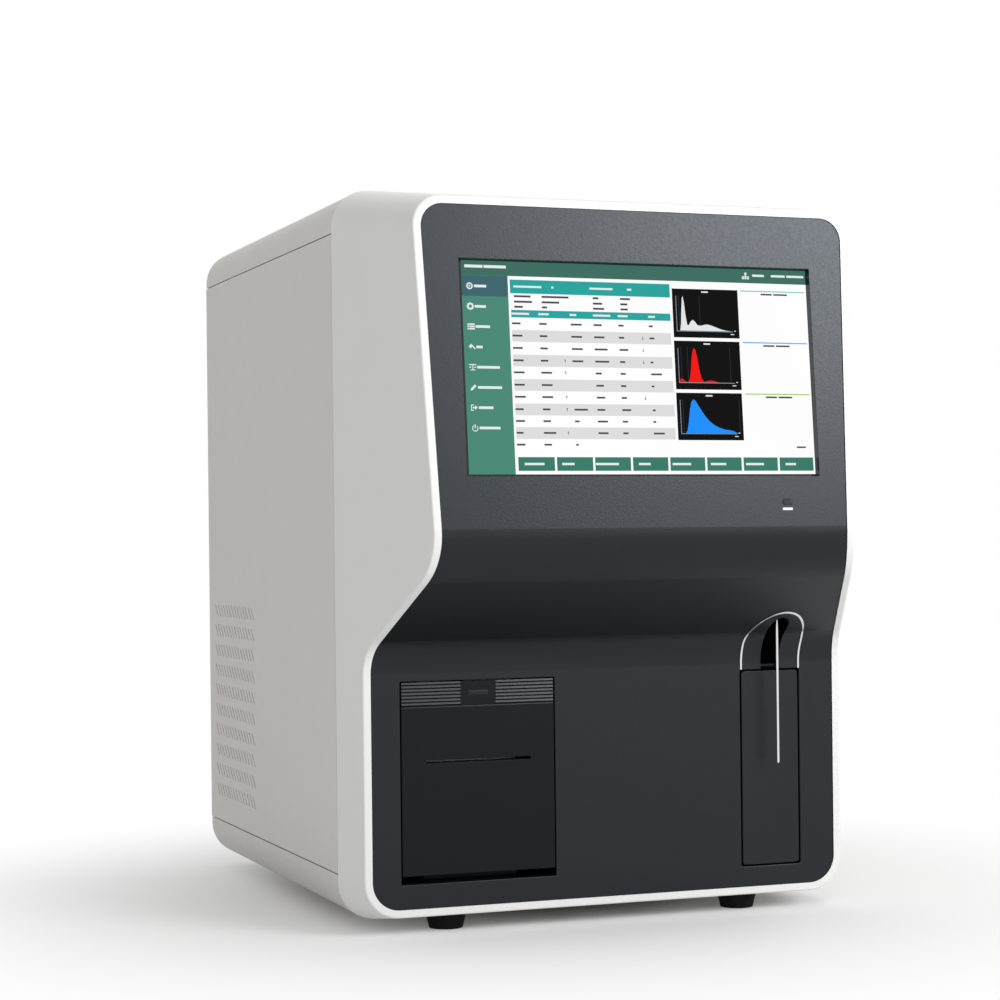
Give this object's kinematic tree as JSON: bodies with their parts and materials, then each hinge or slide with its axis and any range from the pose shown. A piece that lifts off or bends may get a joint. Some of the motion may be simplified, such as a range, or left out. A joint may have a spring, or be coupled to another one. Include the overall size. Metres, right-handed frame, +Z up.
{
  "type": "hematology analyzer",
  "caption": "Bench-top blood cell counter with a sloping display, paper printer behind a drop-down door and a sampling probe over a press key.",
  "frame": {"origin": "bottom centre of the whole box, on the surface that the feet stand on", "axes": "+Z up, +X to the right seen from the front, -Y towards the person who uses it"},
  "size_m": [0.33, 0.4262, 0.4414],
  "materials": {
    "housing_plastic": "satin",
    "fascia_plastic": "fine texture",
    "case_paint": "satin powder coat",
    "rubber": "matt",
    "steel": "satin",
    "bright_steel": "polished",
    "display_glass": "clear",
    "display_case": "satin",
    "clear_plastic": "clear",
    "printer_plastic": "fine texture",
    "thermal_paper": "smooth",
    "gear_plastic": "moulded",
    "aluminium": "satin",
    "motor_case": "satin",
    "acrylic": "clear",
    "glass_barrel": "clear",
    "board": "solder mask",
    "white_plastic": "moulded",
    "brass": "turned"
  },
  "bodies": {
    "casing": {"front_housing": "housing_plastic", "front_fascia": "fascia_plastic", "top_cover": "case_paint", "base_shell": "case_paint", "left_side_panel": "case_paint", "right_side_panel": "case_paint", "rear_panel": "case_paint", "rubber_feet": "rubber", "case_screws": "steel", "inner_chassis": "steel", "touch_glass": "display_glass", "display_panel": "display_case", "display_bracket": "steel", "power_lamp_lens": "clear_plastic", "printer_frame": "printer_plastic", "door_hinge_pin": "bright_steel", "paper_roll": "thermal_paper", "print_head": "aluminium", "head_bracket": "steel", "printer_motor": "motor_case", "door_latch": "white_plastic", "key_frame": "printer_plastic", "key_pin": "bright_steel", "key_switch": "motor_case", "key_spring": "bright_steel", "probe_shroud": "fascia_plastic", "probe_trim": "bright_steel", "wipe_block": "white_plastic", "lift_bracket": "steel", "guide_rods": "bright_steel", "lift_motor": "motor_case", "white_cell_bath": "acrylic", "red_cell_bath": "acrylic", "syringe_barrel": "glass_barrel", "syringe_motor": "motor_case", "vacuum_pump": "motor_case", "valve_manifold": "acrylic", "solenoid_valves": "white_plastic", "waste_jar": "white_plastic", "power_supply": "aluminium", "main_board": "board", "board_standoffs": "brass", "fan_frame": "motor_case", "fan_guard": "bright_steel", "power_inlet": "motor_case", "switch_body": "motor_case", "fluid_connectors": "brass", "interface_board": "steel"},
    "door": {"printer_door": "printer_plastic"},
    "platen": {"platen_roller": "rubber", "platen_shaft": "bright_steel", "platen_gear": "gear_plastic"},
    "key": {"aspirate_key": "fascia_plastic"},
    "probe": {"sample_probe": "bright_steel", "probe_carriage": "aluminium"},
    "screw": {"lift_screw": "steel"},
    "plunger": {"syringe_piston": "white_plastic", "syringe_rod": "bright_steel"},
    "fan": {"fan_rotor": "motor_case"},
    "rocker": {"switch_rocker": "motor_case"}
  },
  "joints": [
    {"name": "door_hinge", "type": "hinge", "parent": "casing", "child": "door", "pos_m": [-0.0845, -0.14287, 0.041], "axis": [1, 0, 0], "range_deg": [-0.5, 85]},
    {"name": "platen_spin", "type": "hinge", "parent": "door", "child": "platen", "pos_m": [-0.0845, -0.13587, 0.0956], "axis": [1, 0, 0], "continuous": true},
    {"name": "key_press", "type": "hinge", "parent": "casing", "child": "key", "pos_m": [0.1081, -0.13987, 0.1436], "axis": [1, 0, 0], "range_deg": [0, 1.5], "stiffness_Nm_per_rad": 4, "deforming": ["key_spring"]},
    {"name": "probe_lift", "type": "slide", "parent": "casing", "child": "probe", "axis": [0, 0, 1], "range_m": [0, 0.08]},
    {"name": "screw_spin", "type": "hinge", "parent": "casing", "child": "screw", "pos_m": [0.1081, -0.12887, 0.1862], "axis": [0, 0, 1], "range_deg": [-5, 3605]},
    {"name": "plunger_draw", "type": "slide", "parent": "casing", "child": "plunger", "axis": [0, 0, -1], "range_m": [0, 0.06]},
    {"name": "fan_spin", "type": "hinge", "parent": "casing", "child": "fan", "pos_m": [0.085, 0.17263, 0.32], "axis": [0, 1, 0], "continuous": true},
    {"name": "power_rocker", "type": "hinge", "parent": "casing", "child": "rocker", "pos_m": [-0.078, 0.19513, 0.07], "axis": [1, 0, 0], "range_deg": [-18, 0]}
  ],
  "couplings": [
    {"joint": "screw_spin", "follows": "probe_lift", "rad_per_m": 785.4}
  ]
}
